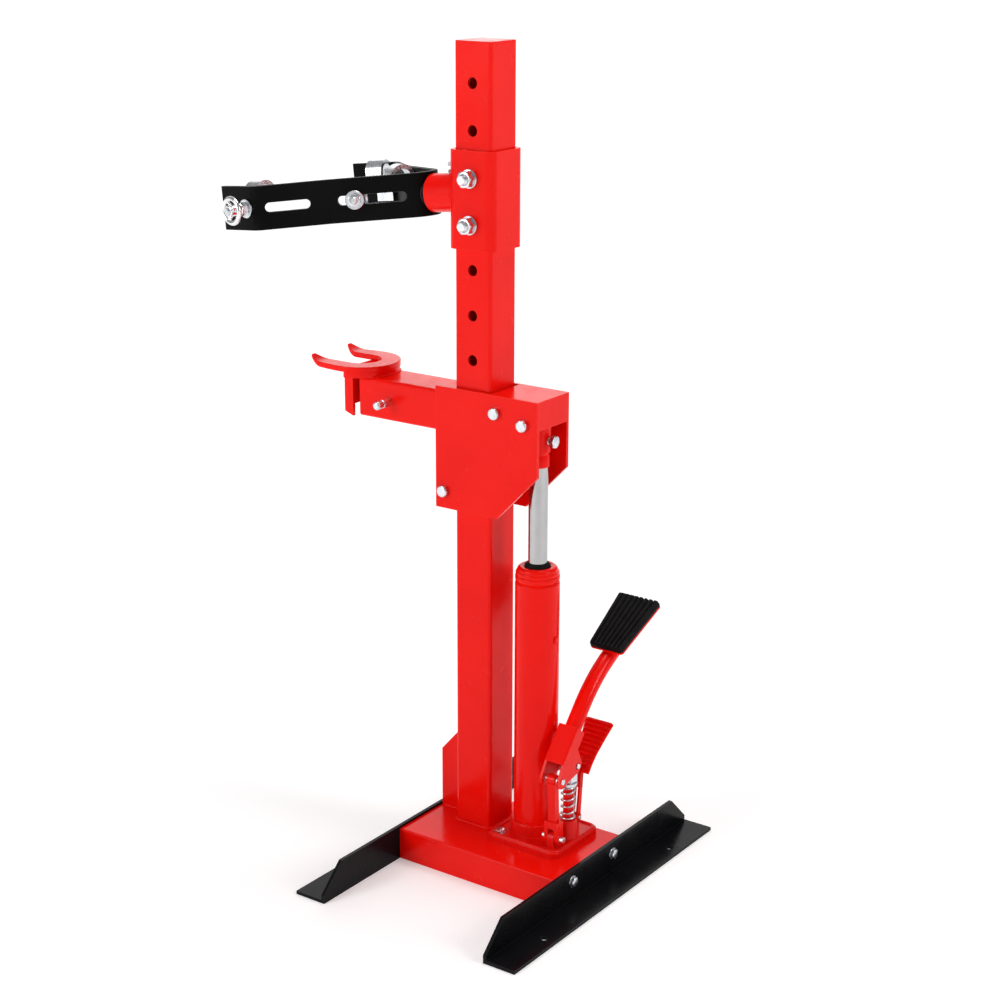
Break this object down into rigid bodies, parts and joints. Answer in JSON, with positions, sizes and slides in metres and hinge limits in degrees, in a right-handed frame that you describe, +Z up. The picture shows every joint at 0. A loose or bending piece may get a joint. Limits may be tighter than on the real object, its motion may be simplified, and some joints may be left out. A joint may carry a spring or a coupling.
{
  "type": "coil spring compressor",
  "caption": "Floor-standing foot-pumped coil spring compressor: column on two angle feet, ram-lifted carriage with lower fork, adjustable upper jaw with sliding hooks.",
  "frame": {"origin": "centre of the four floor anchor holes, on the floor", "axes": "+Z up along the column, +X from the column towards the pump, +Y the way the pedals reach"},
  "size_m": [0.5934, 0.516, 1.169],
  "materials": {
    "red_enamel": "glossy enamel",
    "black_enamel": "gloss enamel",
    "black_texture": "textured powder coat",
    "zinc": "bright zinc plate",
    "steel": "ground steel",
    "chrome": "polished",
    "rubber": "ribbed"
  },
  "bodies": {
    "frame": {"base_channel": "red_enamel", "base_ends": "red_enamel", "foot_angle_left": "black_enamel", "foot_angle_right": "black_enamel", "foot_bolts": "zinc", "foot_nuts": "zinc", "column_tube": "red_enamel", "column_cap": "red_enamel", "column_gusset": "red_enamel", "sleeve": "red_enamel", "sleeve_bolts": "zinc", "sleeve_nuts": "zinc", "sleeve_stub": "red_enamel", "jaw_lock_screw": "zinc", "pump_base": "red_enamel", "pump_screws": "zinc", "reservoir_tube": "red_enamel", "filler_plug": "red_enamel", "ram_cylinder": "steel", "gland_nut": "red_enamel", "wiper_seal": "rubber", "release_valve": "zinc", "pump_base_pins": "zinc"},
    "pump_link": {"pump_link": "red_enamel", "pedal_pivot_pin": "zinc"},
    "pump_pedal": {"pedal_channel": "red_enamel", "pedal_tube": "red_enamel", "pedal_tread_plate": "red_enamel", "pedal_pad": "rubber"},
    "plunger": {"plunger": "red_enamel", "plunger_clevis": "zinc", "plunger_pin": "zinc", "plunger_spring": "zinc"},
    "release_pedal": {"release_pedal": "red_enamel"},
    "carriage": {"carriage_plate_front": "red_enamel", "carriage_plate_rear": "red_enamel", "carriage_cap": "red_enamel", "carriage_pins": "zinc", "lower_arm": "red_enamel", "arm_cross_pin": "zinc", "fork_bracket": "red_enamel", "lower_fork": "red_enamel", "ram_rod": "steel", "ram_piston": "steel", "ram_head": "red_enamel", "ram_clamp_bolt": "zinc"},
    "roller_upper": {"roller_upper": "steel"},
    "roller_lower": {"roller_lower": "steel"},
    "jaw": {"jaw_yoke": "black_texture", "jaw_shaft": "black_texture"},
    "hook_inner_front": {"hook_inner_front": "zinc", "hook_bolt_inner_front": "zinc"},
    "hook_outer_front": {"hook_outer_front": "zinc", "hook_stud_outer_front": "zinc"},
    "wheel_nut_front": {"wheel_nut_front": "chrome"},
    "hook_inner_rear": {"hook_inner_rear": "zinc", "hook_bolt_inner_rear": "zinc"},
    "hook_outer_rear": {"hook_outer_rear": "zinc", "hook_stud_outer_rear": "zinc"},
    "wheel_nut_rear": {"wheel_nut_rear": "chrome"}
  },
  "joints": [
    {"name": "carriage_lift", "type": "slide", "parent": "frame", "child": "carriage", "axis": [0, 0, 1], "range_m": [-0.135, 0.14]},
    {"name": "roller_upper_spin", "type": "hinge", "parent": "carriage", "child": "roller_upper", "pos_m": [-0.0152, 0.018, 0.677], "axis": [0, 1, 0], "range_deg": [-599, 578]},
    {"name": "roller_lower_spin", "type": "hinge", "parent": "carriage", "child": "roller_lower", "pos_m": [-0.1028, 0.018, 0.552], "axis": [0, 1, 0], "range_deg": [-578, 599]},
    {"name": "link_rock", "type": "hinge", "parent": "frame", "child": "pump_link", "pos_m": [0.087, -0.018, 0.071], "axis": [1, 0, 0], "range_deg": [-0.1, 0.84]},
    {"name": "pump_pedal_press", "type": "hinge", "parent": "pump_link", "child": "pump_pedal", "pos_m": [0.087, -0.021, 0.162], "axis": [1, 0, 0], "range_deg": [-18, 0], "stiffness_Nm_per_rad": 4, "springref_deg": 40.11},
    {"name": "plunger_stroke", "type": "slide", "parent": "frame", "child": "plunger", "axis": [0, 0, 1], "range_m": [-0.0128, 0], "deforming": ["plunger_spring"]},
    {"name": "release_pedal_press", "type": "hinge", "parent": "frame", "child": "release_pedal", "pos_m": [0.087, 0.038, 0.082], "axis": [1, 0, 0], "range_deg": [-12, 0], "stiffness_Nm_per_rad": 1.5, "springref_deg": 28.65},
    {"name": "jaw_swivel", "type": "hinge", "parent": "frame", "child": "jaw", "pos_m": [-0.096, 0.018, 0.9655], "axis": [-0.9947, 0, -0.1028], "range_deg": [-25, 25]},
    {"name": "hook_inner_front_slide", "type": "slide", "parent": "jaw", "child": "hook_inner_front", "axis": [-0.8386, -0.5378, -0.0867], "range_m": [-0.035, 0.008]},
    {"name": "hook_outer_front_slide", "type": "slide", "parent": "jaw", "child": "hook_outer_front", "axis": [-0.9783, 0.1808, -0.1011], "range_m": [0, 0.02]},
    {"name": "wheel_nut_front_turn", "type": "hinge", "parent": "hook_outer_front", "child": "wheel_nut_front", "pos_m": [-0.34836, -0.13375, 0.93942], "axis": [-0.1798, -0.9835, -0.0186], "continuous": true},
    {"name": "hook_inner_rear_slide", "type": "slide", "parent": "jaw", "child": "hook_inner_rear", "axis": [-0.8386, 0.5378, -0.0867], "range_m": [-0.035, 0.008]},
    {"name": "hook_outer_rear_slide", "type": "slide", "parent": "jaw", "child": "hook_outer_rear", "axis": [-0.9783, -0.1808, -0.1011], "range_m": [0, 0.02]},
    {"name": "wheel_nut_rear_turn", "type": "hinge", "parent": "hook_outer_rear", "child": "wheel_nut_rear", "pos_m": [-0.34836, 0.16975, 0.93942], "axis": [-0.1798, 0.9835, -0.0186], "continuous": true}
  ],
  "couplings": [
    {"joint": "roller_upper_spin", "follows": "carriage_lift", "rad_per_m": -74.074},
    {"joint": "roller_lower_spin", "follows": "carriage_lift", "rad_per_m": 74.074},
    {"joint": "link_rock", "follows": "pump_pedal_press", "ratio": -0.04132},
    {"joint": "plunger_stroke", "follows": "pump_pedal_press", "m_per_rad": 0.03992}
  ]
}
